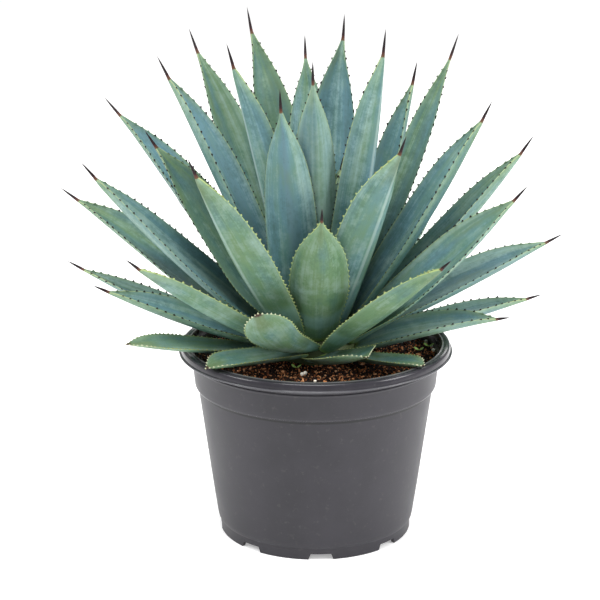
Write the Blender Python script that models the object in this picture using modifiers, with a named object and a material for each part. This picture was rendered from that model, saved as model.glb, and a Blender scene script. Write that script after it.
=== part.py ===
"""Potted agave: a rosette of stiff, spine-tipped leaves in a black moulded nursery pot.

Metres, +Z up. The origin lies on the axis of the pot, on the surface that it stands on.
The front of the plant faces -Y.
"""

import math
from collections import namedtuple

import bmesh
import bpy
from mathutils import Vector

# Pot: a ten-inch shell with a rolled rim, a stacking band, a tapered wall and a notched foot
POT_HEIGHT = 0.182
RIM_RADIUS = 0.127
MOUTH_RADIUS = 0.118
RIM_DEPTH = 0.0074
BAND_TOP_RADIUS = 0.1155
BAND_FOOT_RADIUS = 0.1128
BAND_FOOT_Z = 0.143
STEP = 0.003
FOOT_RADIUS = 0.090
FOOT_LINE_Z = 0.0115
WALL = 0.0018
FLOOR_Z = 0.006
FOOT_RING = 0.004
NOTCHES = 8
NOTCH_HEIGHT = 0.0055
NOTCH_FOOT_WIDTH = 0.027
NOTCH_TOP_WIDTH = 0.019
NOTCH_HEADING = -87
DRAIN_HOLES = 8
DRAIN_RADIUS = 0.007
DRAIN_RING = 0.062
POT_SIDES = 48

# Soil: fills the pot and mounds a little towards the plant
SOIL_CENTRE_Z = 0.1707
SOIL_EDGE_Z = 0.1685

# Stem: a low dome, half an ellipsoid, on a stub of root
STEM_Z = 0.171
STEM_RADIUS = 0.037
STEM_HEIGHT = 0.048
ROOT_RADIUS = 0.020
ROOT_DEPTH = 0.0205
STEM_SIDES = 24

GAP = 0.0003
LEAF_GAP = 0.0004

# Leaf form, along its length: share of the length, then the value there
SPINED_WIDTH = [
    (0, 0.34), (0.05, 0.38), (0.13, 0.6), (0.25, 0.79), (0.38, 0.94), (0.5, 1), (0.6, 0.97),
    (0.68, 0.88), (0.74, 0.75), (0.8, 0.55), (0.86, 0.29), (0.9, 0.11), (0.925, 0.05), (1, 0),
]
BLUNT_WIDTH = [
    (0, 0.4), (0.05, 0.44), (0.13, 0.54), (0.24, 0.66), (0.36, 0.78), (0.48, 0.88), (0.6, 0.95),
    (0.71, 1), (0.8, 0.98), (0.87, 0.86), (0.92, 0.66), (1, 0),
]
SPINED_THICKNESS = [
    (0, 0.006), (0.1, 0.0085), (0.25, 0.01), (0.5, 0.009), (0.75, 0.0065), (0.87, 0.004),
    (0.925, 0.0028), (1, 0.0003),
]
BLUNT_THICKNESS = [(0, 0.005), (0.13, 0.006), (0.36, 0.0055), (0.71, 0.004), (0.92, 0.0022), (1, 0.0003)]
CHANNEL_SHARE = [(0, 0.9), (0.15, 0.9), (0.45, 1), (0.75, 1.25), (0.87, 1.5), (0.925, 1.7), (1, 1.7)]
SECTIONS = [0, 0.05, 0.13, 0.24, 0.36, 0.48, 0.6, 0.71, 0.8, 0.87, 0.92]
KEEL_DROP = 0.0014
ROLL_LENGTH = 0.25
STEPS = 80

Leaf = namedtuple("Leaf", "heading root height lean_root lean_tip length width channel roll blunt")


def leaf(heading, root, height, leans, size, channel, roll=0, blunt=False):
    """Angles in degrees, from +X and from level. Root and height place the base on the stem.
    Size is length by width in millimetres, and channel is half the angle that the section turns."""
    length, width = size
    return Leaf(heading, root, height, *leans, length / 1000, width / 1000, channel, roll, blunt)


LEAVES = [
    # lowest, short and blunt, drooping over the soil at the front
    leaf(-147, -112, 10, (2, 4), (101, 34), 43, blunt=True),
    leaf(-40, -40, 4, (2, 11), (90, 26), 38, blunt=True),
    leaf(-162, -158, 4, (7, 11), (147, 30), 44, -7, blunt=True),
    leaf(-50, -92, 5, (6, 27), (77, 38), 47, blunt=True),
    leaf(-124, -93, 18, (5, 60), (110, 36), 26, 34, blunt=True),
    # low leaves, right, behind and left
    leaf(-6, -17, 4, (17, 13), (149, 37), 40, 9),
    leaf(18, 14, 3, (5, 15), (195, 34), 41, 4),
    leaf(35, 38, 4, (8, 18), (175, 44), 50),
    leaf(61, 64, 4, (12, 22), (128, 44), 50),
    leaf(91, 90, 4, (11, 22), (106, 42), 50),
    leaf(120, 122, 4, (11, 21), (130, 42), 50),
    leaf(148, 147, 4, (9, 20), (152, 42), 50),
    leaf(163, 164, 3, (8, 27), (223, 24), 43, -20),
    leaf(188, 201, 9, (14, 30), (184, 36), 49, -17),
    leaf(-146, -140, 11, (25, 44), (202, 42), 44, 4),
    leaf(-33, -66, 13, (33, 49), (163, 46), 47),
    # half-raised leaves
    leaf(18, 14, 11, (18, 26), (229, 53), 40, 5),
    leaf(47, 45, 14, (30, 41), (178, 50), 50),
    leaf(78, 75, 14, (38, 51), (151, 45), 50),
    leaf(109, 105, 14, (32, 46), (143, 42), 50),
    leaf(137, 131, 14, (27, 42), (186, 42), 50),
    leaf(161, 180, 7, (30, 34), (256, 48), 49, -16),
    leaf(179, 183, 16, (34, 53), (247, 46), 37, -6),
    leaf(-127, -134, 20, (47, 63), (246, 54), 48, -7),
    leaf(-88, -87, 25, (52, 72), (167, 60), 40),
    leaf(-53, -54, 36, (60, 68), (223, 60), 45, 2),
    leaf(-4, -19, 14, (36, 53), (221, 53), 41, 27),
    leaf(11, 13, 19, (36, 58), (252, 50), 48),
    # upper leaves
    leaf(8, 13, 27, (50, 67), (250, 52), 52, 8),
    leaf(41, 38, 24, (56, 66), (299, 32), 43, 19),
    leaf(62, 69, 24, (48, 60), (200, 46), 50),
    leaf(96, 103, 26, (51, 65), (205, 45), 50),
    leaf(150, 155, 16, (49, 44), (285, 48), 61, -13),
    leaf(168, 176, 26, (53, 58), (224, 54), 23, -20),
    leaf(164, 178, 36, (64, 64), (273, 53), 52, -4),
    leaf(131, 133, 35, (56, 62), (297, 51), 40),
    leaf(-110, -121, 33, (72, 86), (242, 56), 53, 10),
    leaf(27, 21, 37, (65, 81), (250, 42), 46, 8),
    # innermost leaves, nearly upright
    leaf(-38, -32, 47, (73, 87), (281, 51), 47, -3),
    leaf(-152, -147, 48, (76, 76), (271, 52), 51, 3),
    leaf(118, 109, 50, (59, 72), (294, 56), 47, 8),
    leaf(94, 100, 60, (63, 73), (257, 49), 48, 3),
    leaf(74, 41, 63, (75, 84), (270, 59), 49, -10),
    leaf(-95, -88, 63, (78, 80), (248, 43), 44, 4),
    leaf(189, 187, 73, (78, 87), (165, 34), 50),
    leaf(19, 13, 76, (79, 87), (140, 40), 50),
]


def clear_scene():
    for obj in list(bpy.data.objects):
        bpy.data.objects.remove(obj, do_unlink=True)


def collection(name):
    group = bpy.data.collections.new(name)
    bpy.context.scene.collection.children.link(group)
    return group


def finish(name, colour, roughness):
    """A plain Principled material."""
    made = bpy.data.materials.new(name)
    made.use_nodes = True
    shader = made.node_tree.nodes["Principled BSDF"]
    shader.inputs["Base Color"].default_value = (*colour, 1)
    shader.inputs["Roughness"].default_value = roughness
    shader.inputs["Metallic"].default_value = 0
    return made


def add(name, mesh, group, material=None):
    obj = bpy.data.objects.new(name, mesh)
    group.objects.link(obj)
    if material:
        mesh.materials.append(material)
    return obj


def turned(name, profile, sides, group, material):
    """A solid of revolution about Z. The profile is (radius, height) points from the axis,
    out along the top, down the outer side and back to the axis."""
    mesh = bpy.data.meshes.new(name)
    edges = [(i, i + 1) for i in range(len(profile) - 1)]
    mesh.from_pydata([(radius, 0, z) for radius, z in profile], edges, [])
    obj = add(name, mesh, group, material)
    screw = obj.modifiers.new("Turn", "SCREW")
    screw.axis = "Z"
    screw.angle = math.tau
    screw.steps = screw.render_steps = sides
    screw.use_merge_vertices = True
    screw.merge_threshold = 0.00005
    return obj


def wall_radius(z):
    """Outer radius of the tapered wall below the step."""
    step_radius = BAND_FOOT_RADIUS - STEP
    share = (z - FOOT_LINE_Z) / (BAND_FOOT_Z - FOOT_LINE_Z)
    return FOOT_RADIUS + 0.0018 + (step_radius - FOOT_RADIUS - 0.0018) * share


def inner_wall(floor_z, clearance):
    """Inside of the pot from the floor up to the mouth, kept in by the clearance."""
    inset = WALL + clearance
    low = floor_z + 0.004
    return [
        (wall_radius(low) - inset - 0.004, floor_z),
        (wall_radius(low) - inset, low),
        (wall_radius(BAND_FOOT_Z - STEP) - inset, BAND_FOOT_Z - STEP),
        (BAND_FOOT_RADIUS - inset, BAND_FOOT_Z + WALL),
    ]


def make_pot(group, cutters, material):
    lip_z = POT_HEIGHT - RIM_DEPTH
    profile = [(0, FLOOR_Z + WALL)]
    profile += inner_wall(FLOOR_Z + WALL, 0)
    profile += [
        (BAND_TOP_RADIUS - WALL, lip_z - 0.002),
        (MOUTH_RADIUS - 0.0015, POT_HEIGHT - 0.003),
        (MOUTH_RADIUS, POT_HEIGHT - 0.0012),
        (MOUTH_RADIUS + 0.0014, POT_HEIGHT - 0.0002),
        (RIM_RADIUS - 0.0045, POT_HEIGHT),
        (RIM_RADIUS - 0.0022, POT_HEIGHT - 0.0008),
        (RIM_RADIUS - 0.001, POT_HEIGHT - 0.0026),
        (RIM_RADIUS, lip_z + 0.0008),
        (RIM_RADIUS - 0.0007, lip_z),
        (BAND_TOP_RADIUS + 0.0006, lip_z + 0.0012),
        (BAND_TOP_RADIUS, lip_z),
        (BAND_FOOT_RADIUS, BAND_FOOT_Z + 0.0006),
        (BAND_FOOT_RADIUS - 0.0008, BAND_FOOT_Z),
        (wall_radius(BAND_FOOT_Z - 0.0012), BAND_FOOT_Z - 0.0012),
        (wall_radius(0.05), 0.05),
        (wall_radius(FOOT_LINE_Z + 0.006), FOOT_LINE_Z + 0.006),
        (FOOT_RADIUS + 0.0006, FOOT_LINE_Z),
        (FOOT_RADIUS, FOOT_LINE_Z - 0.0015),
        (FOOT_RADIUS, 0),
        (FOOT_RADIUS - FOOT_RING, 0),
        (FOOT_RADIUS - FOOT_RING - 0.0005, FLOOR_Z),
        (0, FLOOR_Z),
    ]
    pot = turned("pot", profile, POT_SIDES, group, material)
    for name, cutter in (("Notches", notch_cutter(cutters)), ("Drain holes", drain_cutter(cutters))):
        cutter.hide_render = True
        cutter.display_type = "WIRE"
        cut = pot.modifiers.new(name, "BOOLEAN")
        cut.operation = "DIFFERENCE"
        cut.solver = "EXACT"
        cut.object = cutter
    return pot


def notch_cutter(group):
    """Wedge-shaped blocks that cut the openings round the foot ring."""
    shape = bmesh.new()
    inner, outer = FOOT_RADIUS - FOOT_RING - 0.0015, FOOT_RADIUS + 0.004
    below = 0.002
    slope = (NOTCH_FOOT_WIDTH - NOTCH_TOP_WIDTH) / 2 / NOTCH_HEIGHT
    for k in range(NOTCHES):
        angle = math.radians(NOTCH_HEADING + 360 * k / NOTCHES)
        out = Vector((math.cos(angle), math.sin(angle), 0))
        across = Vector((-math.sin(angle), math.cos(angle), 0))
        low = NOTCH_FOOT_WIDTH / 2 + slope * below
        high = NOTCH_TOP_WIDTH / 2
        block = bmesh.ops.create_cube(shape, size=1)["verts"]
        for vert in block:
            radius = outer if vert.co.x > 0 else inner
            top = vert.co.z > 0
            side = math.copysign(high if top else low, vert.co.y)
            vert.co = out * radius + across * side + Vector((0, 0, NOTCH_HEIGHT if top else -below))
    return add_shape("notch_cutter", shape, group)


def drain_cutter(group):
    shape = bmesh.new()
    for k in range(DRAIN_HOLES):
        angle = math.radians(NOTCH_HEADING + 360 * (k + 0.5) / DRAIN_HOLES)
        hole = bmesh.ops.create_cone(
            shape, cap_ends=True, segments=16, radius1=DRAIN_RADIUS, radius2=DRAIN_RADIUS, depth=0.012
        )["verts"]
        centre = Vector((math.cos(angle) * DRAIN_RING, math.sin(angle) * DRAIN_RING, FLOOR_Z))
        bmesh.ops.translate(shape, verts=hole, vec=centre)
    return add_shape("drain_cutter", shape, group)


def add_shape(name, shape, group, material=None):
    mesh = bpy.data.meshes.new(name)
    shape.to_mesh(mesh)
    shape.free()
    return add(name, mesh, group, material)


def make_soil(group, material):
    """A moulded root ball with a socket for the root."""
    socket_radius = ROOT_RADIUS + GAP
    wall = inner_wall(FLOOR_Z + WALL + GAP, GAP)
    top_share = (SOIL_EDGE_Z - BAND_FOOT_Z) / (POT_HEIGHT - RIM_DEPTH - BAND_FOOT_Z)
    edge_radius = BAND_FOOT_RADIUS + (BAND_TOP_RADIUS - BAND_FOOT_RADIUS) * top_share - WALL - GAP
    profile = [
        (0, STEM_Z - ROOT_DEPTH - GAP),
        (socket_radius, STEM_Z - ROOT_DEPTH - GAP),
        (socket_radius, SOIL_CENTRE_Z),
        (STEM_RADIUS, SOIL_CENTRE_Z),
        (0.080, SOIL_CENTRE_Z - 0.0007),
        (0.104, SOIL_EDGE_Z + 0.0004),
        (edge_radius - 0.0005, SOIL_EDGE_Z),
        *reversed(wall),
        (0, FLOOR_Z + WALL + GAP),
    ]
    return turned("soil", profile, POT_SIDES, group, material)


def make_stem(group, material):
    arc = [math.radians(90 - 15 * k) for k in range(7)]
    profile = [(STEM_RADIUS * math.cos(a), STEM_Z + STEM_HEIGHT * math.sin(a)) for a in arc]
    profile[0] = (0, STEM_Z + STEM_HEIGHT)
    profile += [(ROOT_RADIUS, STEM_Z), (ROOT_RADIUS, STEM_Z - ROOT_DEPTH), (0, STEM_Z - ROOT_DEPTH)]
    return turned("stem", profile, STEM_SIDES, group, material)


def along(table, share):
    """The value in a table of (share, value) at this share of the length."""
    for (a, low), (b, high) in zip(table, table[1:]):
        if share <= b:
            return low + (high - low) * (share - a) / (b - a)
    return table[-1][1]


def on_stem(heading, height, lift):
    """The point of the dome at this heading and height, in radians, lifted off it."""
    reach = (STEM_RADIUS + lift) * math.cos(height)
    rise = (STEM_HEIGHT + lift) * math.sin(height)
    return Vector((reach * math.cos(heading), reach * math.sin(heading), STEM_Z + rise))


def off_stem(point, lift):
    """The point moved straight away from the middle of the dome, onto the lifted dome."""
    middle = Vector((0, 0, STEM_Z))
    away = point - middle
    across = math.hypot(away.x, away.y) / (STEM_RADIUS + lift)
    scale = 1 / math.hypot(across, away.z / (STEM_HEIGHT + lift))
    return middle + away * scale, scale


def keel(row):
    """Points and directions down the back of a leaf, from the stem to the tip of its spine."""
    heading = math.radians(row.heading)
    point = on_stem(math.radians(row.root), math.radians(row.height), LEAF_GAP)
    path = []
    for step in range(STEPS + 1):
        lean = math.radians(row.lean_root + (row.lean_tip - row.lean_root) * step / STEPS)
        level = math.cos(lean)
        toward = Vector((level * math.cos(heading), level * math.sin(heading), math.sin(lean)))
        path.append((point, toward))
        point = point + toward * (row.length / STEPS)
    return path


def section(row, path, share):
    """Eight points round the leaf: five across its hollow upper face, three round its back."""
    place = share * STEPS
    before = int(place)
    point = path[before][0].lerp(path[before + 1][0], place - before)
    toward = path[round(place)][1]
    side = Vector((0, 0, 1)).cross(toward).normalized()
    up = toward.cross(side)
    roll = math.radians(row.roll) * min(1, share / ROLL_LENGTH)
    side, up = side * math.cos(roll) + up * math.sin(roll), up * math.cos(roll) - side * math.sin(roll)
    if row.blunt:
        width = row.width * along(BLUNT_WIDTH, share)
        thick = along(BLUNT_THICKNESS, share)
        turn = math.radians(row.channel)
        rise = thick / 2
    else:
        width = row.width * along(SPINED_WIDTH, share)
        thick = along(SPINED_THICKNESS, share)
        turn = math.radians(row.channel * along(CHANNEL_SHARE, share))
        rise = thick - KEEL_DROP
    bend = width / (2 * turn)

    def upper(u):
        return point + side * (bend * math.sin(u * turn)) + up * (bend * (1 - math.cos(u * turn)) + rise)

    def lower(u):
        outward = side * math.sin(u * turn) - up * math.cos(u * turn)
        return upper(u) + outward * (thick * math.sqrt(1 - u * u))

    return [upper(u) for u in (-1, -0.5, 0, 0.5, 1)] + [lower(u) for u in (0.5, 0, -0.5)]


def make_leaf(name, row, group, material):
    """A loft through the sections, closed by a fan on the stem and another at the tip."""
    path = keel(row)
    rings = [section(row, path, share) for share in SECTIONS]
    rings[0] = [off_stem(point, LEAF_GAP)[0] for point in rings[0]]
    for k, point in enumerate(rings[1]):
        lifted, scale = off_stem(point, 2 * LEAF_GAP)
        if scale > 1:
            rings[1][k] = lifted
    shape = bmesh.new()
    loops = [[shape.verts.new(point) for point in ring] for ring in rings]
    base = sum(rings[0], Vector()) / len(rings[0])
    root = shape.verts.new(off_stem(base, LEAF_GAP)[0])
    tip = shape.verts.new(path[-1][0])
    count = len(loops[0])
    for k in range(count):
        after = (k + 1) % count
        shape.faces.new((loops[0][after], loops[0][k], root))
        shape.faces.new((loops[-1][k], loops[-1][after], tip))
        for low, high in zip(loops, loops[1:]):
            shape.faces.new((low[k], low[after], high[after], high[k]))
    bmesh.ops.recalc_face_normals(shape, faces=shape.faces)
    obj = add_shape(name, shape, group, material)
    obj.data.shade_smooth()
    return obj


clear_scene()
plant = collection("potted_agave")
cutters = collection("cutters")
plastic = finish("black plastic", (0.035, 0.035, 0.037), 0.42)
potting_mix = finish("potting mix", (0.11, 0.045, 0.022), 0.95)
flesh = finish("agave stem", (0.42, 0.5, 0.3), 0.6)
skin = finish("agave leaf", (0.16, 0.29, 0.24), 0.5)

make_pot(plant, cutters, plastic)
make_soil(plant, potting_mix)
make_stem(plant, flesh)
for number, row in enumerate(LEAVES, 1):
    make_leaf(f"leaf_{number:02d}", row, plant, skin)
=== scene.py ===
"""A potted agave: a rosette of stiff blue-green leaves with toothed edges and dark end spines,
growing in reddish coir in a black moulded nursery pot. Metres, +Z up, front towards -Y.
"""

import math
import random

import bpy
from mathutils import Matrix, Vector, noise


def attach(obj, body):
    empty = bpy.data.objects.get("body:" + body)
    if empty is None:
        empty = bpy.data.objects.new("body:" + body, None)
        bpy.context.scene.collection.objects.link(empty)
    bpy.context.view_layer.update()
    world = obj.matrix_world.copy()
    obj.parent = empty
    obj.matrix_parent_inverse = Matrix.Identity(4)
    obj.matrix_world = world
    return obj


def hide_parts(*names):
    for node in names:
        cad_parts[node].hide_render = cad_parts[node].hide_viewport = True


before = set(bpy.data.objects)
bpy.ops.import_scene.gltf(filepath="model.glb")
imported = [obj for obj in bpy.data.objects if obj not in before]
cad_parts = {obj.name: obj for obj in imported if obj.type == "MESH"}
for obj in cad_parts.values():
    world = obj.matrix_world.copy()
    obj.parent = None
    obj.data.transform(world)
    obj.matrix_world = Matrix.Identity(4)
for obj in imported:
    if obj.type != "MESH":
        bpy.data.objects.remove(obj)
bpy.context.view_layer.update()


# ---------------------------------------------------------------- Studio
# A white table, so wide that it is its own backdrop, in a white tent. Soft boxes hang above,
# on the left, on the right and behind, so the leaves get a pale line of light on their edges.

bpy.context.scene.view_settings.view_transform = "Standard"

FLOOR_SIZE = 40
bpy.ops.object.select_all(action="DESELECT")
bpy.ops.mesh.primitive_plane_add(size=FLOOR_SIZE)
table = bpy.context.active_object
table.name = "table"
bpy.ops.object.mode_set(mode="EDIT")
bpy.ops.mesh.subdivide(number_cuts=8)
bpy.ops.object.mode_set(mode="OBJECT")
white = bpy.data.materials.new("white_board")
white.use_nodes = True
board = white.node_tree.nodes["Principled BSDF"].inputs
board["Base Color"].default_value = (0.93, 0.93, 0.93, 1)
board["Roughness"].default_value = 0.9
board["Specular IOR Level"].default_value = 0
board["Emission Color"].default_value = (1, 1, 1, 1)
board["Emission Strength"].default_value = 0.35
table.data.materials.append(white)

tent = bpy.data.worlds.new("tent")
tent.use_nodes = True
glow = tent.node_tree.nodes["Background"].inputs
glow["Color"].default_value = (1, 1, 1, 1)
glow["Strength"].default_value = 0.62
bpy.context.scene.world = tent

AIM = Vector((0, 0, 0.25))
# The place of each lamp, the width of its cloth and its watts.
SOFT_BOXES = {
    "top": ((-0.1, -0.5, 2.2), 1.1, 34),
    "left": ((-1.6, -0.5, 1.5), 0.8, 20),
    "right": ((1.8, -0.6, 1.1), 0.9, 26),
    "back": ((0.3, 1.9, 1.5), 1.2, 18),
}
for name, (place, size, watts) in SOFT_BOXES.items():
    bpy.ops.object.light_add(type="AREA", location=place)
    lamp = bpy.context.active_object
    lamp.name = "soft_box_" + name
    lamp.rotation_euler = (AIM - Vector(place)).to_track_quat("-Z", "Y").to_euler()
    lamp.data.size = size
    lamp.data.energy = watts
    lamp.visible_camera = False

CAMERA_PLACE = (-0.0145, -1.843, 0.7776)
CAMERA_PITCH = 16.78
FOCAL_LENGTH = 124.5
SENSOR_WIDTH = 36
bpy.ops.object.camera_add(location=CAMERA_PLACE, rotation=(math.radians(90 - CAMERA_PITCH), 0, 0))
camera = bpy.context.active_object
camera.data.lens = FOCAL_LENGTH
camera.data.sensor_width = SENSOR_WIDTH
camera.data.clip_end = 100
bpy.context.scene.camera = camera


# ---------------------------------------------------------------- Pot
# Nursery pot, black polypropylene, injection moulded in one piece: rolled rim, stacking band
# with a step below it, tapered wall and a foot ring with openings. Drain holes in its floor.


class Wire:
    """An output of a shader node. Sums written on it add Math nodes to its material."""

    def __init__(self, tree, socket=None):
        self.tree = tree
        self.socket = socket

    def node(self, kind, settings, inputs, output=0):
        """Adds any other node: its settings, then the values or wires of its sockets."""
        made = self.tree.nodes.new(kind)
        for name, value in settings.items():
            if name == "stops":
                ramp = made.color_ramp
                for place, colour in value[1:-1]:
                    ramp.elements.new(place)
                for stop, (place, colour) in zip(ramp.elements, value):
                    stop.position = place
                    stop.color = (*colour, 1)
            else:
                setattr(made, name, value)
        for name, value in inputs.items():
            if isinstance(value, Wire):
                self.tree.links.new(value.socket, made.inputs[name])
            else:
                made.inputs[name].default_value = value
        return Wire(self.tree, made.outputs[output])

    def maths(self, operation, *values):
        return self.node("ShaderNodeMath", {"operation": operation}, dict(enumerate(values)))

    def __add__(self, other):
        return self.maths("ADD", self, other)

    __radd__ = __add__

    def __sub__(self, other):
        return self.maths("SUBTRACT", self, other)

    def __rsub__(self, other):
        return self.maths("SUBTRACT", other, self)

    def __mul__(self, other):
        return self.maths("MULTIPLY", self, other)

    __rmul__ = __mul__

    def clear(self):
        """Kept between 0 and 1."""
        return self.node("ShaderNodeClamp", {}, {"Value": self})

    def size(self):
        """Without its sign."""
        return self.maths("ABSOLUTE", self)

    def step(self, low, high):
        """0 below low, 1 above high, smooth between them."""
        return self.node(
            "ShaderNodeMapRange",
            {"interpolation_type": "SMOOTHSTEP"},
            {"Value": self, "From Min": low, "From Max": high},
        )

    def tint(self, low, high):
        """This share of the way from one colour to the other."""
        low = (*low, 1) if isinstance(low, tuple) else low
        high = (*high, 1) if isinstance(high, tuple) else high
        return self.node("ShaderNodeMix", {"data_type": "RGBA"}, {0: self, 6: low, 7: high}, 2)

    def noise(self, scale, detail=2, roughness=0.5, squeeze=(1, 1, 1)):
        """Noise at this many to the metre, or to the unit, on a position."""
        place = self.node("ShaderNodeMapping", {}, {"Vector": self, "Scale": squeeze})
        fineness = {"Scale": scale, "Detail": detail, "Roughness": roughness}
        return self.node("ShaderNodeTexNoise", {}, {"Vector": place, **fineness})

    def bump(self, distance, strength=1.0):
        """A normal that stands this far up where the height is 1."""
        inputs = {"Height": self, "Distance": distance, "Strength": strength}
        return self.node("ShaderNodeBump", {}, inputs, "Normal")


def new_finish(name):
    """An empty material with its shader, and the position on the object."""
    made = bpy.data.materials.new(name)
    made.use_nodes = True
    shader = made.node_tree.nodes["Principled BSDF"]
    place = Wire(made.node_tree).node("ShaderNodeTexCoord", {}, {}, "Object")
    return made, shader, place


def plug(shader, **inputs):
    """Links or sets the shader's sockets, named with _ for each space."""
    for name, value in inputs.items():
        socket = shader.inputs[name.replace("_", " ")]
        if isinstance(value, Wire):
            value.tree.links.new(value.socket, socket)
        else:
            socket.default_value = value


def pick(*pieces):
    """Selects only these, with the first one active."""
    bpy.ops.object.select_all(action="DESELECT")
    for piece in pieces:
        piece.select_set(True)
    bpy.context.view_layer.objects.active = pieces[0]


def edit_new(add, name, **sizes):
    """Adds a primitive and goes into edit mode with all of it selected."""
    bpy.ops.object.select_all(action="DESELECT")
    add(**sizes)
    piece = bpy.context.active_object
    piece.name = name
    bpy.ops.object.mode_set(mode="EDIT")
    bpy.ops.mesh.select_all(action="SELECT")
    return piece


def pull_rings(start, rings):
    """Extrudes the selected ring through these (radius, height) places, one after another."""
    radius, height = start
    for next_radius, next_height in rings:
        rise = (0, 0, next_height - height)
        bpy.ops.mesh.extrude_region_move(TRANSFORM_OT_translate={"value": rise})
        share = next_radius / radius
        bpy.ops.transform.resize(value=(share, share, 1), center_override=(0, 0, next_height))
        radius, height = next_radius, next_height


def leave_closed():
    """Turns all the faces outwards and goes back to object mode."""
    bpy.ops.mesh.select_all(action="SELECT")
    bpy.ops.mesh.normals_make_consistent(inside=False)
    bpy.ops.object.mode_set(mode="OBJECT")


POT_SIDES = 160
FLOOR_UNDER = 0.006
FLOOR_TOP = 0.0078
FOOT_INNER = (0.0855, FLOOR_UNDER)
# Radius and height of each ring of the wall, from the foot up the outside and down the inside.
OUTER_WALL = [
    (0.0860, 0.0004), (0.0864, 0), (0.0895, 0), (0.0900, 0.0005), (0.0900, 0.0098),
    (0.0903, 0.0108), (0.0909, 0.0114), (0.0918, 0.0125), (0.0925, 0.0155), (0.0930, 0.0185),
    (0.0968, 0.0450),
    (0.1022, 0.0840), (0.1075, 0.1230), (0.1095, 0.1375), (0.1099, 0.1410), (0.1104, 0.1420),
    (0.1114, 0.1425), (0.1122, 0.1427), (0.1127, 0.1430), (0.1129, 0.1437), (0.1136, 0.1500),
    (0.1151, 0.1655), (0.1153, 0.1664), (0.1159, 0.1669), (0.1162, 0.1675), (0.1161, 0.1682),
    (0.1155, 0.1687), (0.1156, 0.1700), (0.1160, 0.1728), (0.1161, 0.1738), (0.1165, 0.1743),
    (0.1220, 0.1743), (0.1265, 0.1742), (0.1272, 0.1743), (0.1275, 0.1746), (0.1276, 0.1751),
    (0.1274, 0.1756), (0.1270, 0.1759), (0.1264, 0.1760), (0.1260, 0.1763), (0.1258, 0.1775),
    (0.1255, 0.1798), (0.1251, 0.1809), (0.1243, 0.1817), (0.1230, 0.1820), (0.1218, 0.18195),
    (0.1204, 0.1816), (0.1196, 0.1814), (0.1190, 0.1818), (0.1184, 0.1820), (0.1179, 0.1819),
    (0.1176, 0.1813), (0.1174, 0.1798),
]
INNER_WALL = [
    (0.1165, 0.1760), (0.1140, 0.1726), (0.1137, 0.1710), (0.1130, 0.1640), (0.1112, 0.1450),
    (0.1082, 0.1415), (0.1057, 0.1230), (0.1004, 0.0840), (0.0950, 0.0450), (0.0912, 0.0185),
    (0.0900, 0.0120), (0.0880, 0.0090), (0.0860, FLOOR_TOP),
]
pot = edit_new(
    bpy.ops.mesh.primitive_circle_add,
    "pot_shell",
    vertices=POT_SIDES,
    radius=FOOT_INNER[0],
    fill_type="NGON",
)
bpy.ops.transform.translate(value=(0, 0, FLOOR_UNDER))
bpy.ops.mesh.select_mode(type="EDGE")
bpy.ops.mesh.delete(type="ONLY_FACE")
bpy.ops.mesh.select_all(action="SELECT")
pull_rings(FOOT_INNER, OUTER_WALL + INNER_WALL)
bpy.ops.mesh.edge_face_add()
bpy.ops.mesh.select_all(action="DESELECT")
bpy.ops.mesh.select_mode(type="EDGE")
bpy.ops.mesh.select_non_manifold(extend=False)
bpy.ops.mesh.edge_face_add()
leave_closed()


def copies_round(piece, count, heading):
    """Turns the piece to its heading and copies it round the pot, each copy with its own mesh."""
    made = []
    for k in range(count):
        turned = piece.copy()
        turned.data = piece.data.copy()
        bpy.context.collection.objects.link(turned)
        turned.data.transform(Matrix.Rotation(math.radians(heading + 360 * k / count), 4, "Z"))
        made.append(turned)
    bpy.data.objects.remove(piece)
    return made


def cut(piece, cutters):
    """Cuts the joined cutters out of the piece."""
    pick(*cutters)
    bpy.ops.object.join()
    cutter = bpy.context.active_object
    pick(piece)
    bpy.ops.object.modifier_add(type="BOOLEAN")
    boolean = piece.modifiers[-1]
    boolean.operation = "DIFFERENCE"
    boolean.solver = "EXACT"
    boolean.object = cutter
    bpy.ops.object.modifier_apply(modifier=boolean.name)
    bpy.data.objects.remove(cutter)


OPENINGS = 8
OPENING_HEADING = -87
OPENING_REACH = 0.0885
OPENING_DEPTH = 0.012
OPENING_HEIGHT = 0.0055
OPENING_WIDTH = 0.027
OPENING_TOP_SHARE = 0.7
opening = edit_new(bpy.ops.mesh.primitive_cube_add, "opening", size=1)
bpy.ops.transform.resize(value=(OPENING_DEPTH, OPENING_WIDTH, OPENING_HEIGHT * 2))
bpy.ops.transform.translate(value=(OPENING_REACH, 0, 0))
bpy.ops.mesh.select_all(action="DESELECT")
bpy.ops.object.mode_set(mode="OBJECT")
for corner in opening.data.vertices:
    corner.select = corner.co.z > 0
bpy.ops.object.mode_set(mode="EDIT")
bpy.ops.transform.resize(
    value=(1, OPENING_TOP_SHARE, 1), center_override=(OPENING_REACH, 0, OPENING_HEIGHT)
)
bpy.ops.object.mode_set(mode="OBJECT")
cut(pot, copies_round(opening, OPENINGS, OPENING_HEADING))

DRAIN_SIDES = 32
DRAIN_RADIUS = 0.007
DRAIN_DEPTH = 0.012
DRAIN_RING = 0.062
HALF_PITCH = 180 / OPENINGS
drain = edit_new(
    bpy.ops.mesh.primitive_cylinder_add,
    "drain",
    vertices=DRAIN_SIDES,
    radius=DRAIN_RADIUS,
    depth=DRAIN_DEPTH,
)
bpy.ops.transform.translate(value=(DRAIN_RING, 0, FLOOR_UNDER))
bpy.ops.object.mode_set(mode="OBJECT")
cut(pot, copies_round(drain, OPENINGS, OPENING_HEADING + HALF_PITCH))

pick(pot)
bpy.ops.object.shade_smooth_by_angle(angle=math.radians(38))

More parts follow.
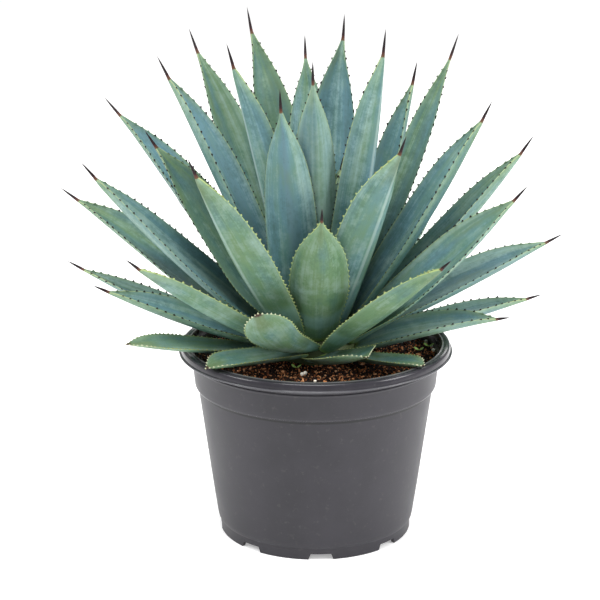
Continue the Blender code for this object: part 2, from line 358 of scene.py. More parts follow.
plastic, shader, place = new_finish("black_plastic")
height = place.node("ShaderNodeSeparateXYZ", {}, {"Vector": place}, "Z")
level = place.node("ShaderNodeMapping", {}, {"Vector": place, "Scale": (1, 1, 0)})
reach = place.node("ShaderNodeVectorMath", {"operation": "LENGTH"}, {0: level}, "Value")
mottle = place.noise(38, 4, 0.6)
haze = place.noise(9, 3, 0.55, (1, 1, 0.35))
grit = place.noise(900, 2, 0.6)
dust = place.noise(160, 3, 0.7).step(0.58, 0.76)
# Zones of the pot, by height and by reach from its axis, in metres.
rim_zone = height.step(0.1730, 0.1745)
lip = height.step(0.1752, 0.1758) * 0.0045
inside = (1 - (reach - lip).step(0.1141, 0.1146)) * height.step(0.1665, 0.168)
# Painted shadow: a dark band just under the step.
painted_step_shadow = height.step(0.1385, 0.1400) * (1 - height.step(0.1408, 0.1420))
step_edge = height.step(0.1424, 0.1429) * (1 - height.step(0.1436, 0.1442))
step_edge = step_edge * reach.step(0.1118, 0.1124)
bead = height.step(0.1738, 0.1743) * (1 - height.step(0.1757, 0.1762))
bead = bead * reach.step(0.1262, 0.1268)
mouth = height.step(0.1812, 0.1816) * (1 - reach.step(0.1192, 0.1197))
# Black plastic with a little dust, a painted shadow under the step, painted highlights along
# the step edge, the lip bead and the mouth, and a trace of moss inside above the soil.
tone = (mottle * 0.5 + haze * 0.5).step(0.3, 0.7)
body = tone.tint((0.018, 0.017, 0.022), (0.028, 0.026, 0.033))
body = (dust * 0.1).tint(body, (0.2, 0.18, 0.16))
body = (painted_step_shadow * 0.9).tint(body, (0.004, 0.004, 0.005))
# Painted highlights: paler lines on the step edge, the lip bead and the mouth.
painted_edge_highlight = (step_edge * 0.18 + bead * 0.5 + mouth * 0.5) * (0.5 + mottle)
body = painted_edge_highlight.clear().tint(body, (0.13, 0.13, 0.14))
moss = (inside * (place.noise(110, 4, 0.7).step(0.42, 0.62) * 0.6 + 0.12)).clear()
body = moss.tint(body, (0.12, 0.13, 0.08))
polish = (rim_zone + step_edge).clear()
plug(
    shader,
    Base_Color=body,
    Roughness=0.45 + (mottle - 0.5) * 0.16 - polish * 0.27 + moss * 0.35,
    Normal=(grit * 0.5 + mottle * 0.8).bump(0.00010, 0.5),
    Specular_IOR_Level=0.36,
)
pot.data.materials.append(plastic)
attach(pot, "root")
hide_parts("pot")


# ---------------------------------------------------------------- Soil
# Coir and fine bark, reddish brown and loose, with paler chips, a few white grit grains and
# some small weed seedlings. It fills the pot to about 13 mm below the rim.

SOIL_SIDES = 128
SOIL_FOOT = (0.0855, 0.0082)
SOIL_WALL = [
    (0.0906, 0.0185), (0.0946, 0.045), (0.1000, 0.084), (0.1053, 0.123), (0.1078, 0.1405),
    (0.1106, 0.145),
]
SOIL_EDGE = (0.1132, 0.1675)
SOIL_CENTRE_Z = 0.1707
SOIL_MOUND = 0.0026
SURFACE_RINGS = 44
SURFACE_FROM_Z = 0.166


def soil_height(x, y):
    """Height of the soil's surface, a shallow mound with lumps."""
    share = math.hypot(x, y) / SOIL_EDGE[0]
    lump = noise.noise(Vector((x * 90, y * 90, 3))) * 0.0011
    lump += noise.noise(Vector((x * 260, y * 260, 7))) * 0.0006
    return SOIL_CENTRE_Z - SOIL_MOUND * share**2 + lump


soil = edit_new(
    bpy.ops.mesh.primitive_circle_add,
    "soil_ball",
    vertices=SOIL_SIDES,
    radius=SOIL_FOOT[0],
    fill_type="NGON",
)
bpy.ops.transform.translate(value=(0, 0, SOIL_FOOT[1]))
surface = []
for k in range(1, SURFACE_RINGS):
    share = 1 - k / SURFACE_RINGS
    surface.append((SOIL_EDGE[0] * share, SOIL_CENTRE_Z - SOIL_MOUND * share**2))
pull_rings(SOIL_FOOT, SOIL_WALL + [SOIL_EDGE] + surface)
bpy.ops.mesh.merge(type="COLLAPSE")
leave_closed()
for point in soil.data.vertices:
    if point.co.z > SURFACE_FROM_Z:
        point.co.z = soil_height(point.co.x, point.co.y)
pick(soil)
bpy.ops.object.shade_smooth()


def mark_points(mesh, marks):
    """Gives each point of the mesh its values, which the finish reads by their names."""
    for name, values in marks.items():
        layer = mesh.attributes.new(name, "FLOAT", "POINT")
        layer.data.foreach_set("value", values)


def strew(name, pattern, places, marks):
    """One mesh of copies of the pattern, one for each place. Marks give each copy a value."""
    points = []
    faces = []
    count = len(pattern.data.vertices)
    for k, spot in enumerate(places):
        points += [spot @ point.co for point in pattern.data.vertices]
        faces += [[index + k * count for index in face.vertices] for face in pattern.data.polygons]
    mesh = bpy.data.meshes.new(name)
    mesh.from_pydata(points, [], faces)
    for mark, values in marks.items():
        mark_points(mesh, {mark: [value for value in values for _ in range(count)]})
    piece = bpy.data.objects.new(name, mesh)
    bpy.context.collection.objects.link(piece)
    return piece


SOIL_SEED = 41
draw = random.Random(SOIL_SEED)
crumb = edit_new(bpy.ops.mesh.primitive_ico_sphere_add, "crumb", subdivisions=1, radius=1)
bpy.ops.object.mode_set(mode="OBJECT")
for point in crumb.data.vertices:
    point.co *= 1 + 0.45 * noise.noise(point.co * 1.7 + Vector((5, 2, 9)))
CRUMBS = 9000
CRUMB_INNER = 0.030
CRUMB_OUTER = 0.1118
LEAST_CRUMB = 0.00046
CRUMB_RANGE = 0.00085
CRUMB_STRETCH = ((1, 1.9), (0.7, 1.1), (0.5, 0.9))
BIG_CRUMB_SHARE = 0.05
# Shades from 0 to 1 are coir and bark, dark to pale. Grit and seedlings have shades of their own.
SURFACE_SHADE = 0.05
GRIT_SHADE = 1.4
SEEDLING_SHADE = 3
spots = []
shades = []
for _ in range(CRUMBS):
    angle = draw.uniform(0, math.tau)
    reach = math.sqrt(draw.uniform(CRUMB_INNER**2, CRUMB_OUTER**2))
    x = reach * math.cos(angle)
    y = reach * math.sin(angle)
    size = LEAST_CRUMB + CRUMB_RANGE * draw.random() ** 2.4
    shade = draw.random()
    if draw.random() < BIG_CRUMB_SHARE:
        size *= 1.5
    turn = draw.uniform(0, math.tau)
    axle = Vector([draw.uniform(-1, 1) for _ in range(3)]).normalized()
    spin = Matrix.Rotation(turn, 4, axle)
    stretch = Matrix.Diagonal((*(size * draw.uniform(low, high) for low, high in CRUMB_STRETCH), 1))
    z = soil_height(x, y) + size * draw.uniform(0.1, 0.9)
    spots.append(Matrix.Translation((x, y, z)) @ spin @ stretch)
    shades.append(shade)
GRIT = [
    (-0.0127, -0.0662), (-0.0100, -0.0634), (-0.0011, -0.0828), (0.1098, 0.0208), (0.1105, 0.0092),
    (0.1052, 0.0340),
]
for x, y in GRIT:
    size = draw.uniform(0.0017, 0.0025)
    z = soil_height(x, y) + size * 0.9
    spots.append(Matrix.Translation((x, y, z)) @ Matrix.Scale(size, 4))
    shades.append(GRIT_SHADE)
SEEDLINGS = [(0.0965, 0.0048), (0.1066, 0.0172), (-0.0182, -0.052)]
SEEDLING_HEIGHT = 0.0022
SEED_LEAF = 0.0032
SEED_LEAF_THICK = 0.0004
SEED_LEAF_RISE = 25
for x, y in SEEDLINGS:
    foot = Matrix.Translation((x, y, soil_height(x, y) + SEEDLING_HEIGHT))
    for heading in (20, 140, 260):
        lobe = Matrix.Rotation(math.radians(heading), 4, "Z")
        lobe = lobe @ Matrix.Rotation(math.radians(-SEED_LEAF_RISE), 4, "Y")
        lobe = lobe @ Matrix.Translation((SEED_LEAF, 0, 0))
        lobe = lobe @ Matrix.Diagonal((SEED_LEAF, SEED_LEAF * 0.6, SEED_LEAF_THICK, 1))
        spots.append(foot @ lobe)
        shades.append(SEEDLING_SHADE)
crumbs = strew("crumbs", crumb, spots, {"shade": shades})
bpy.data.objects.remove(crumb)
mark_points(soil.data, {"shade": [SURFACE_SHADE] * len(soil.data.vertices)})
pick(soil, crumbs)
bpy.ops.object.join()

coir, shader, place = new_finish("coir_and_bark")
shade = place.node("ShaderNodeAttribute", {"attribute_name": "shade"}, {}, "Fac")
grain = place.noise(700, 3, 0.7)
patch = place.noise(60, 2, 0.5)
mixed = (shade * 0.85 + (grain - 0.5) * 0.35 + (patch - 0.5) * 0.25).clear()
colour = mixed.node(
    "ShaderNodeValToRGB",
    {
        "stops": [
            (0, (0.006, 0.002, 0.001)),
            (0.3, (0.022, 0.007, 0.003)),
            (0.5, (0.150, 0.045, 0.015)),
            (0.66, (0.450, 0.165, 0.058)),
            (0.82, (0.760, 0.390, 0.190)),
            (1, (0.800, 0.620, 0.460)),
        ]
    },
    {"Fac": mixed},
)
colour = shade.step(1.2, 1.3).tint(colour, (0.95, 0.90, 0.80))
colour = shade.step(2, 2.5).tint(colour, (0.42, 0.62, 0.18))
plug(
    shader,
    Base_Color=colour,
    Roughness=0.8 + (grain - 0.5) * 0.2,
    Normal=grain.bump(0.0004, 0.6),
    Specular_IOR_Level=0.3,
)
soil.data.materials.append(coir)
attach(soil, "root")
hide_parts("soil")


# ---------------------------------------------------------------- Stem
# The short thick stem of pale green, fibrous pith, rooted in the soil. It is a low dome on
# which the leaves grow close together in a spiral, and their feet hide nearly all of it.

STEM_Z = 0.171
STEM_RADIUS = 0.037
STEM_HEIGHT = 0.048
STEM_FOOT_Z = 0.156
stem = edit_new(
    bpy.ops.mesh.primitive_uv_sphere_add, "stem_dome", segments=48, ring_count=24, radius=1
)
bpy.ops.transform.resize(value=(STEM_RADIUS, STEM_RADIUS, STEM_HEIGHT))
bpy.ops.transform.translate(value=(0, 0, STEM_Z))
bpy.ops.mesh.bisect(
    plane_co=(0, 0, STEM_FOOT_Z), plane_no=(0, 0, 1), clear_inner=True, use_fill=True
)
bpy.ops.object.mode_set(mode="OBJECT")
pick(stem)
bpy.ops.object.shade_smooth_by_angle(angle=math.radians(50))
pith, shader, place = new_finish("pale_stem")
fibre = place.noise(140, 3, 0.6, (1, 1, 0.2))
plug(
    shader,
    Base_Color=fibre.tint((0.035, 0.06, 0.018), (0.09, 0.12, 0.04)),
    Roughness=0.6 + (fibre - 0.5) * 0.2,
    Normal=fibre.bump(0.0006, 0.6),
)
stem.data.materials.append(pith)
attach(stem, "root")
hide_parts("stem")


# ---------------------------------------------------------------- Leaves
# Thick, stiff leaves, hollow on the upper face and keeled behind, with a grey-blue wax bloom.
# Horny teeth stand on both edges, and each leaf ends in a hard, dark spine, unless its end is cut
# back and blunt. Their widened feet clasp the stem.

AROUND = 8
MIDDLE = 5
# How far along the spine each of its rings stands, and its radius.
SPINE_RINGS = [(0, 0.0017), (0.35, 0.0013), (0.7, 0.0008)]
COLLAR_SHARE = 0.8
LEAF_SEED = 1000
# How many times as wide as in the CAD each ring of a leaf is, from its foot to its tip.
BASE_SPREAD = (1.9, 1.9, 1.5, 1.25, 1.1, 1.03, 1, 1, 0.94, 0.72, 0.72)
BLUNT_SPREAD = (1.6, 1.5, 1.4, 1.3, 1.25, 1.25, 1.25, 1.25, 1.2, 1.1, 1.05)
WIDE_SPREAD = (2, 2, 1.9, 1.6, 1.4, 1.22, 1.1, 1.03, 0.95, 0.73, 0.72)
OWN_SPREAD = {
    "leaf_04": (2.4, 2.3, 2.1, 1.9, 1.8, 1.7, 1.7, 1.6, 1.5, 1.3, 1.1),
    "leaf_01": (2.2, 2.2, 2, 1.8, 1.6, 1.45, 1.4, 1.35, 1.3, 1.2, 1.1),
    "leaf_25": (1.9, 1.9, 1.2, 1.15, 1.07, 1, 0.92, 0.8, 0.58, 0.34, 0.8),
    "leaf_24": (2, 2, 1.5, 1.35, 1.25, 1.15, 1.05, 1, 0.97, 0.8, 0.8),
    "leaf_16": (2.5, 2.5, 2.15, 1.95, 1.8, 1.7, 1.5, 1.3, 1.1, 0.8, 0.72),
    "leaf_23": (2.2, 2.2, 2.2, 1.9, 1.6, 1.35, 1.15, 1.05, 0.98, 0.8, 0.8),
    "leaf_22": WIDE_SPREAD,
    "leaf_33": WIDE_SPREAD,
    "leaf_34": WIDE_SPREAD,
    "leaf_06": WIDE_SPREAD,
}
UNEVEN = 0.035
BACK_FLAT = 0.45
EDGE_CREASE = 0.9
KEEL_CREASE = 0.6
# For the eight points of a ring: the place from edge to edge, and 1 on the hollow face.
ACROSS = (-1, -0.5, 0, 0.5, 1, 0.5, 0, -0.5)
HOLLOW = (0.5, 1, 1, 1, 0.5, 0, 0, 0)


def merged(node):
    """The points and neighbours of a CAD leaf, from a copy with its loose triangles merged."""
    copy = bpy.data.objects.new("copy", node.data.copy())
    bpy.context.collection.objects.link(copy)
    pick(copy)
    bpy.ops.object.mode_set(mode="EDIT")
    bpy.ops.mesh.select_all(action="SELECT")
    bpy.ops.mesh.remove_doubles(threshold=0.00001)
    bpy.ops.object.mode_set(mode="OBJECT")
    points = [point.co.copy() for point in copy.data.vertices]
    near = [set() for _ in points]
    for edge in copy.data.edges:
        low, high = edge.vertices
        near[low].add(high)
        near[high].add(low)
    bpy.data.objects.remove(copy)
    return points, near


def lined_up(ring, beside):
    """The ring started and turned so that its points lie nearest to those beside them."""
    orders = [ring[k:] + ring[:k] for k in range(AROUND)]
    orders += [order[::-1] for order in orders]
    return min(orders, key=lambda order: sum((a - b).length_squared for a, b in zip(order, beside)))


def read_rings(points, near):
    """The leaf's eight-point rings from the stem to the tip, then its two end points.
    In each ring the edges are points 0 and 4, with the hollow face between them."""
    middle = Vector((0, 0, STEM_Z))
    tip = max(range(len(points)), key=lambda k: (points[k] - middle).length)
    seen = {tip}
    outer = {tip}
    rings = []
    while True:
        outer = set.union(*(near[k] for k in outer)) - seen
        seen |= outer
        if len(outer) < AROUND:
            break
        order = [min(outer)]
        while len(order) < AROUND:
            order.append(min((near[order[-1]] & outer) - set(order)))
        rings.insert(0, [points[k] for k in order])
    ring = rings[MIDDLE]
    start = max(range(4), key=lambda k: (ring[k] - ring[k + 4]).length)
    ring = ring[start:] + ring[:start]
    chord = (ring[0] + ring[4]) / 2
    if (ring[2] - chord).length > (ring[6] - chord).length:
        ring = ring[4:] + ring[:4]
    rings[MIDDLE] = ring
    for k in range(MIDDLE - 1, -1, -1):
        rings[k] = lined_up(rings[k], rings[k + 1])
    for k in range(MIDDLE + 1, len(rings)):
        rings[k] = lined_up(rings[k], rings[k - 1])
    return rings, points[min(outer)], points[tip]


def centre(ring):
    return sum(ring, Vector()) / len(ring)


def spread(rings, shares, dice):
    """Widens the clasping foot of a leaf, so that the feet cover the stem, and narrows its tip."""
    for ring, share in zip(rings, shares):
        side = (ring[4] - ring[0]).normalized()
        middle = (ring[4] + ring[0]) / 2
        share *= 1 + dice.uniform(-UNEVEN, UNEVEN)
        for k, point in enumerate(ring):
            ring[k] = point + side * ((point - middle).dot(side) * (share - 1))


def round_spine(rings, tip):
    """Makes the last ring round and adds more towards the tip, for a smooth round spine."""
    last = rings.pop()
    rings.append([low.lerp(high, COLLAR_SHARE) for low, high in zip(rings[-1], last)])
    foot = centre(last)
    side = (last[4] - last[0]).normalized()
    up = (last[2] - last[6]).normalized()
    for share, radius in SPINE_RINGS:
        middle = foot.lerp(tip, share)
        angles = [math.radians(180 - 360 / AROUND * k) for k in range(AROUND)]
        rings.append([middle + (side * math.cos(a) + up * math.sin(a)) * radius for a in angles])


def loft(name, rings, root, tip, blunt, keeled):
    """A smooth leaf through the rings, with what its finish needs to know at each point."""
    middles = [root] + [centre(ring) for ring in rings] + [tip]
    run = [0]
    for low, high in zip(middles, middles[1:]):
        run.append(run[-1] + (high - low).length)
    points = [point for ring in rings for point in ring] + [root, tip]
    root_index = len(points) - 2
    tip_index = len(points) - 1
    faces = []
    for k in range(AROUND):
        after = (k + 1) % AROUND
        faces.append((after, k, root_index))
        top = (len(rings) - 1) * AROUND
        faces.append((top + k, top + after, tip_index))
        for row in range(len(rings) - 1):
            low = row * AROUND
            faces.append((low + k, low + after, low + AROUND + after, low + AROUND + k))
    mesh = bpy.data.meshes.new(name)
    mesh.from_pydata(points, [], faces)
    along = [place / run[-1] for place in run[1:-1] for _ in range(AROUND)] + [0, 1]
    across = list(ACROSS) * len(rings) + [0, 0]
    hollow = list(HOLLOW) * len(rings) + [0.5, 0.5]
    # How far in from the nearer edge each point lies, in millimetres.
    inset = []
    for ring in rings:
        half_width_mm = 500 * ((ring[0] - ring[2]).length + (ring[2] - ring[4]).length)
        inset += [half_width_mm * (1 - abs(value)) for value in ACROSS]
    inset += [10, 6 if blunt else 1]
    horn = [0] * (len(points) - 1) + [0 if blunt else 1]
    edge_line = [1 if value in (-1, 1) else 0 for value in across[:-2]] + [0, 1 if blunt else 0]
    first_spine = len(rings) - len(SPINE_RINGS)
    if not blunt:
        horn[first_spine * AROUND : -2] = [1] * (len(SPINE_RINGS) * AROUND)
    mark_points(mesh, {"along": along, "across": across, "hollow": hollow, "inset": inset})
    mark_points(mesh, {"horn": horn, "edge_line": edge_line})
    crease = mesh.attributes.new("crease_edge", "FLOAT", "EDGE")
    creased_rings = len(rings) if blunt else first_spine
    for edge in mesh.edges:
        low, high = sorted(edge.vertices)
        lengthwise = high - low == AROUND and low % AROUND in (0, 4)
        to_tip = blunt and high == tip_index and low % AROUND in (0, 4)
        if (lengthwise and high < creased_rings * AROUND) or to_tip:
            crease.data[edge.index].value = EDGE_CREASE
        if high - low == AROUND and low % AROUND == 6 and high < creased_rings * AROUND and keeled:
            crease.data[edge.index].value = KEEL_CREASE
    point_crease = mesh.attributes.new("crease_vert", "FLOAT", "POINT")
    point_crease.data[tip_index].value = 1
    piece = bpy.data.objects.new(name, mesh)
    bpy.context.collection.objects.link(piece)
    pick(piece)
    bpy.ops.object.mode_set(mode="EDIT")
    leave_closed()
    bpy.ops.object.modifier_add(type="SUBSURF")
    smooth = piece.modifiers[-1]
    smooth.levels = smooth.render_levels = 2
    bpy.ops.object.modifier_apply(modifier=smooth.name)
    return piece


# A tooth is made in millimetres, with its root sunk in the edge of the leaf. Each step gives how
# much narrower it gets and how far it moves on, hooked a little towards the tip of the leaf.
TOOTH_ROOT_Z = -0.7
TOOTH_STEPS = [
    ((0.52, 1.15, 1), (0.0, 0, 0.9)),
    ((0.72, 1.0, 1), (0.05, 0, 0.5)),
    ((0.62, 0.75, 1), (0.15, 0, 0.5)),
]
TOOTH_POINT = (0.2, 0, 0.5)
MILLIMETRE = 0.001
tooth = edit_new(
    bpy.ops.mesh.primitive_circle_add, "tooth", vertices=6, radius=1, fill_type="NGON"
)
bpy.ops.transform.resize(value=(2.3, 0.6, 1))
bpy.ops.transform.translate(value=(0, 0, TOOTH_ROOT_Z))
centre_x = 0
centre_z = TOOTH_ROOT_Z
for sizes, move in TOOTH_STEPS:
    bpy.ops.mesh.extrude_region_move(TRANSFORM_OT_translate={"value": move})
    centre_x += move[0]
    centre_z += move[2]
    bpy.ops.transform.resize(value=sizes, center_override=(centre_x, 0, centre_z))
bpy.ops.mesh.extrude_region_move(TRANSFORM_OT_translate={"value": TOOTH_POINT})
bpy.ops.mesh.merge(type="COLLAPSE")
bpy.ops.mesh.select_all(action="SELECT")
bpy.ops.mesh.normals_make_consistent(inside=False)
bpy.ops.transform.resize(value=(MILLIMETRE,) * 3, center_override=(0, 0, 0))
bpy.ops.object.mode_set(mode="OBJECT")
# It turns to horn from just inside the edge of the leaf up to its point.
HORN_FOOT_Z = -0.0001
HORN_RISE = 0.0017
tooth_horn = [
    min(1, max(0, (point.co.z - HORN_FOOT_Z) / HORN_RISE)) for point in tooth.data.vertices
]


def tooth_pitch(share, blunt, young):
    """Spacing and size of the teeth: close and small near the stem, apart and stout above."""
    if blunt:
        return 0.0042, 0.75
    grown = min(1, max(0, (share - 0.25) / 0.35))
    return 0.0048 + 0.0034 * grown, 0.88 + 0.12 * grown if young else 0.72 + 0.22 * grown


FIRST_TOOTH = 0.03
LAST_TOOTH = 0.885
FIRST_GAP = 0.006
TOOTH_INSET = 0.8


def edge_teeth(piece, rings, blunt, young, dice):
    """Where the teeth stand on both edges of a leaf: matrices, and how far along each is."""
    mesh = piece.data
    values = {name: mesh.attributes[name].data for name in ("along", "across", "edge_line")}
    spots = []
    shares = []
    for sign, first, inner, back in ((-1, 0, 1, 7), (1, 4, 3, 5)):
        line = []
        for k, point in enumerate(mesh.vertices):
            on_edge = values["edge_line"][k].value > 0.99
            if on_edge and values["across"][k].value * sign >= -0.001:
                line.append((values["along"][k].value, point.co.copy()))
        line.sort(key=lambda entry: entry[0])
        gap = dice.uniform(0.2, 1) * FIRST_GAP
        for (low_share, low), (share, high) in zip(line, line[1:]):
            step = (high - low).length
            while gap <= step:
                mark = low_share + (share - low_share) * gap / step
                spot = low.lerp(high, gap / step)
                pitch, size = tooth_pitch(mark, blunt, young)
                toward = (high - low).normalized()
                row = min(len(rings) - 1, int(mark * len(rings)))
                ring = rings[row]
                outward = (ring[first] * 2 - ring[inner] - ring[back]).normalized()
                outward = (outward - toward * outward.dot(toward)).normalized()
                if mark > FIRST_TOOTH and (blunt or mark < LAST_TOOTH):
                    size *= dice.uniform(0.8, 1.2)
                    turn = Matrix((toward, outward.cross(toward), outward)).transposed().to_4x4()
                    spots.append(Matrix.Translation(spot) @ turn @ Matrix.Scale(size, 4))
                    shares.append(mark)
                gap += pitch * dice.uniform(0.85, 1.15)
            gap -= step
    return spots, shares


KEELED = {"leaf_24", "leaf_26", "leaf_39", "leaf_40", "leaf_33", "leaf_34", "leaf_23", "leaf_38"}
YOUNG = {"leaf_15", "leaf_16", "leaf_24", "leaf_25", "leaf_26"}
BLUNT = {"leaf_01", "leaf_02", "leaf_03", "leaf_04", "leaf_05"}
# How green and how thickly bloomed each leaf is, where it isn't as usual.
LOOKS = {
    "leaf_01": (0.8, 0.15), "leaf_02": (0.75, 0.1), "leaf_03": (0.8, 0), "leaf_04": (0.8, 0.1),
    "leaf_05": (0.8, 0.25), "leaf_06": (0.6, 0.25), "leaf_07": (0.55, 0.15), "leaf_13": (0.5, 0),
    "leaf_14": (0.5, -0.1), "leaf_15": (0.7, 0.1), "leaf_16": (0.85, -0.2), "leaf_17": (0.45, 0.1),
    "leaf_22": (0.5, -0.4), "leaf_23": (0.3, -0.05), "leaf_24": (0.75, 0), "leaf_25": (0.9, -0.12),
    "leaf_26": (0.45, 0.05), "leaf_27": (0.6, 0.05), "leaf_28": (0.5, 0.1), "leaf_29": (0.35, -0.1),
    "leaf_30": (0.5, -0.6), "leaf_33": (0.25, -0.1), "leaf_34": (0.75, -0.35),
    "leaf_35": (0.2, -0.1), "leaf_36": (0.7, -0.05), "leaf_37": (0.1, 0),
    "leaf_38": (0.4, -0.1), "leaf_39": (0.15, -0.15),
    "leaf_40": (0.3, -0.05), "leaf_41": (0.8, -0.15), "leaf_42": (0.5, 0), "leaf_43": (0.25, -0.15),
    "leaf_44": (0.55, 0.6),
}
USUAL_LOOK = (0.45, -0.15)

wax, shader, place = new_finish("bloomed_leaf")


def mark_of(name):
    return place.node("ShaderNodeAttribute", {"attribute_name": name}, {}, "Fac")


along = mark_of("along")
across = mark_of("across")
hollow = mark_of("hollow")
inset = mark_of("inset")
horn = mark_of("horn")
tone = mark_of("tone")
bloom = mark_of("bloom")
kind = mark_of("kind")
keeled = mark_of("keeled")
seed = mark_of("seed")
# Streaks and blotches follow the leaf: each face of each leaf is a page of its own, read across
# and along. Clouds and specks are on the object, at their size in metres.
page = seed * 9 + hollow.step(0.4, 0.6) * 3
sheet = place.node("ShaderNodeCombineXYZ", {}, {"X": across, "Y": along, "Z": page})
blotch = sheet.noise(1, 3, 0.55, (1.5, 3.4, 1))
band = sheet.noise(1, 2, 0.5, (1.9, 0.6, 1))
streak = sheet.noise(1, 4, 0.7, (9, 1.2, 1))
fibre = sheet.noise(1, 3, 0.7, (42, 4, 1))
cloud = place.noise(45, 4, 0.65)
speck = place.noise(420, 3, 0.7)
mottle = place.noise(130, 4, 0.7)
back = 1 - hollow.step(0.3, 0.7)
young = kind.step(0.2, 0.8)
cut_off = kind.step(1.2, 1.8)
ripe = along.step(0.12, 0.4) * (1 - young)
near_tip = along.step(0.72, 0.9)
# The leaf under its bloom, from blue-green to green, with olive patches.
greenness = tone + back * 0.25 - 0.15 + near_tip * 0.35
greenness = (greenness + (blotch - 0.5) * 2.2 + (band - 0.5) * 1.4).clear()
face = greenness.tint((0.110, 0.228, 0.264), (0.110, 0.210, 0.112))
olive = ((cloud - 0.5) * 2.2 + (blotch - 0.5) * 1.6 + near_tip * 0.4 + (tone - 0.4) * 0.9).clear()
face = (olive * 0.6).tint(face, (0.145, 0.212, 0.098))
# The wax bloom, in streaks, with the curved line that a neighbour's edge left in the bud.
imprint = along + across * across * 0.1 - place.maths("FRACT", seed * 0.37) * 0.25 - 0.2
imprint = 1 - imprint.size().step(0.004, 0.03)
powder = (streak - 0.5) * 2.0 + (band - 0.5) * (3.0 - young * 2.0)
powder = powder + (cloud - 0.5) * (1.3 + young * 1.6) + (speck - 0.5) * 0.7 + (mottle - 0.5) * 1.1
powder = powder + 0.08 + imprint * 0.3
powder = (powder + bloom).clear()
face = (powder * (0.72 - 0.3 * tone)).tint(face, (0.310, 0.445, 0.430))
# Darker bands where the bloom is thin or rubbed off, partly painted shade across the face.
shade_band = ((0.46 - band) * 3).clear()
face = (shade_band * (0.5 - young * 0.4)).tint(face, (0.115, 0.155, 0.165))
dark = (0.5 - streak) * 0.9 + (0.5 - fibre) * 0.9 + (0.5 - blotch) * 2.2
dark = dark + (0.5 - cloud) * 1.4 + (0.5 - speck) * 0.8 + (0.5 - mottle) * 1.6
dark = (dark - bloom * 0.8).clear()
face = (dark * 0.6).tint(face, (0.040, 0.088, 0.062))
# A painted highlight along the keel, the wedge below the spine, and the prints that neighbours
# left on young leaves.
painted_keel_highlight = (1 - across.size().step(0.03, 0.09)) * back * keeled * along.step(0.06, 0.2)
face = (painted_keel_highlight * 0.42).tint(face, (0.42, 0.52, 0.49))
wedge = young * near_tip * (1 - across.size().step(0.15, 0.6))
face = (wedge * 0.65).tint(face, (0.120, 0.170, 0.080))
foot_print = young * along.step(0.10, 0.13) * (1 - along.step(0.19, 0.24))
face = (foot_print * (0.3 + streak * 0.5)).tint(face, (0.170, 0.300, 0.280))
above_print = young * along.step(0.20, 0.25) * (1 - along.step(0.28, 0.42))
above_print = above_print * across.size().step(0.25, 0.85)
face = (above_print * (0.6 + (cloud - 0.5) * 1.5).clear()).tint(face, (0.050, 0.100, 0.040))
# Paler towards the edges, painted shade deep in the rosette near each foot, and yellow-green
# where it joins the stem.
near_edge = 1 - inset.step(0.8, 6)
face = (near_edge * 0.35 * (cloud + 0.4)).tint(face, (0.26, 0.38, 0.26))
painted_rosette_shade = 1 - along.step(0.04, 0.38)
face = (painted_rosette_shade * 0.22 * (1 - bloom * 2).clear()).tint(face, (0.030, 0.075, 0.040))
crease = 1 - along.step(0.005, 0.05)
face = (crease * 0.7).tint(face, (0.26, 0.36, 0.06))
# The horny edge, the teeth and the spine, pale on young and cut-back leaves, dark on grown ones.
edge_colour = ripe.tint((0.38, 0.47, 0.17), (0.33, 0.41, 0.20))
edge_colour = (along.step(0.84, 0.93) * cut_off * 0.6).tint(edge_colour, (0.27, 0.36, 0.20))
face = ((1 - inset.step(0.35, 1.0)) * 0.85).tint(face, edge_colour)
tooth_tip = horn.step(0.55, 1).tint((0.29, 0.37, 0.14), (0.20, 0.12, 0.05))
tooth_tip = (along.step(0.8, 0.88) * cut_off).tint(tooth_tip, (0.50, 0.52, 0.34))
horn_colour = ripe.tint(tooth_tip, (0.012, 0.006, 0.005))
spine_colour = along.node(
    "ShaderNodeValToRGB",
    {
        "stops": [
            (0.90, (0.17, 0.14, 0.05)),
            (0.916, (0.090, 0.030, 0.018)),
            (0.924, (0.022, 0.004, 0.006)),
            (0.945, (0.006, 0.002, 0.003)),
            (0.985, (0.008, 0.004, 0.005)),
            (1, (0.10, 0.08, 0.08)),
        ]
    },
    {"Fac": along},
)
horn_colour = (along.step(0.9, 0.91) * (1 - cut_off)).tint(horn_colour, spine_colour)
brown_point = along.step(0.96, 0.985) * cut_off
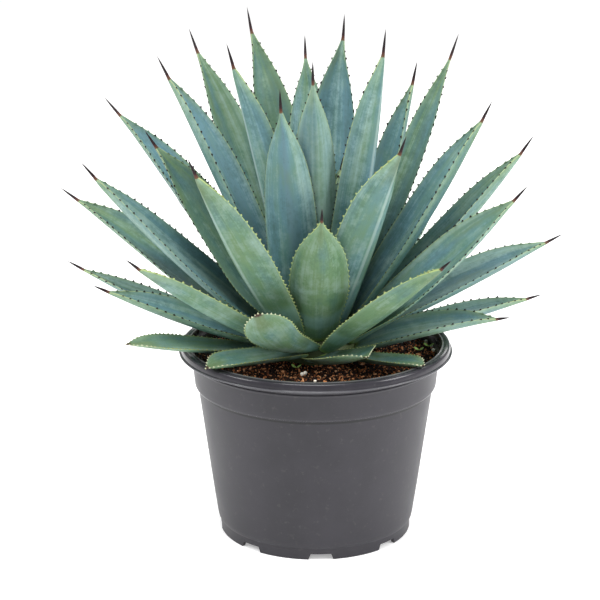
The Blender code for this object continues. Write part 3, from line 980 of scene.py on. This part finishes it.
face = brown_point.tint(face, (0.050, 0.020, 0.014))
skin = horn.step(0.02, 0.25).tint(face, horn_colour)
plug(
    shader,
    Base_Color=skin,
    Roughness=0.5 + (streak - 0.5) * 0.16 + (cloud - 0.5) * 0.12 - horn * 0.06,
    Normal=(fibre * 0.7 + streak * 0.3 + cloud * 0.8 + speck * 0.3).bump(0.0006, 0.5),
    Specular_IOR_Level=0.24,
)

leaf_nodes = sorted(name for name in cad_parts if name.startswith("leaf_"))
for number, node_name in enumerate(leaf_nodes):
    dice = random.Random(LEAF_SEED + number)
    blunt = node_name in BLUNT
    is_young = node_name in YOUNG
    points, near = merged(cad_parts[node_name])
    rings, root, tip = read_rings(points, near)
    spread(rings, OWN_SPREAD.get(node_name, BLUNT_SPREAD if blunt else BASE_SPREAD), dice)
    for ring in rings:
        ring[5] = ring[5].lerp((ring[4] + ring[6]) / 2, BACK_FLAT)
        ring[7] = ring[7].lerp((ring[0] + ring[6]) / 2, BACK_FLAT)
    if not blunt:
        round_spine(rings, tip)
    piece_name = node_name.replace("leaf", "agave_leaf")
    leaf = loft(piece_name, rings, root, tip, blunt, node_name in KEELED)
    spots, shares = edge_teeth(leaf, rings, blunt, is_young, dice)
    on_edge = {"across": [1] * len(shares), "inset": [TOOTH_INSET] * len(shares)}
    teeth = strew("teeth", tooth, spots, {"along": shares, **on_edge})
    mark_points(teeth.data, {"horn": tooth_horn * len(spots)})
    pick(leaf, teeth)
    bpy.ops.object.join()
    green, wax_bloom = LOOKS.get(node_name, USUAL_LOOK)
    marks = {
        "tone": green,
        "bloom": wax_bloom,
        "kind": 2 if blunt else 1 if is_young else 0,
        "keeled": int(node_name in KEELED),
        "seed": number,
    }
    for mark, value in marks.items():
        mark_points(leaf.data, {mark: [value] * len(leaf.data.vertices)})
    pick(leaf)
    bpy.ops.object.shade_smooth_by_angle(angle=math.radians(50))
    leaf.data.materials.append(wax)
    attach(leaf, "root")
    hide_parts(node_name)
bpy.data.objects.remove(tooth)
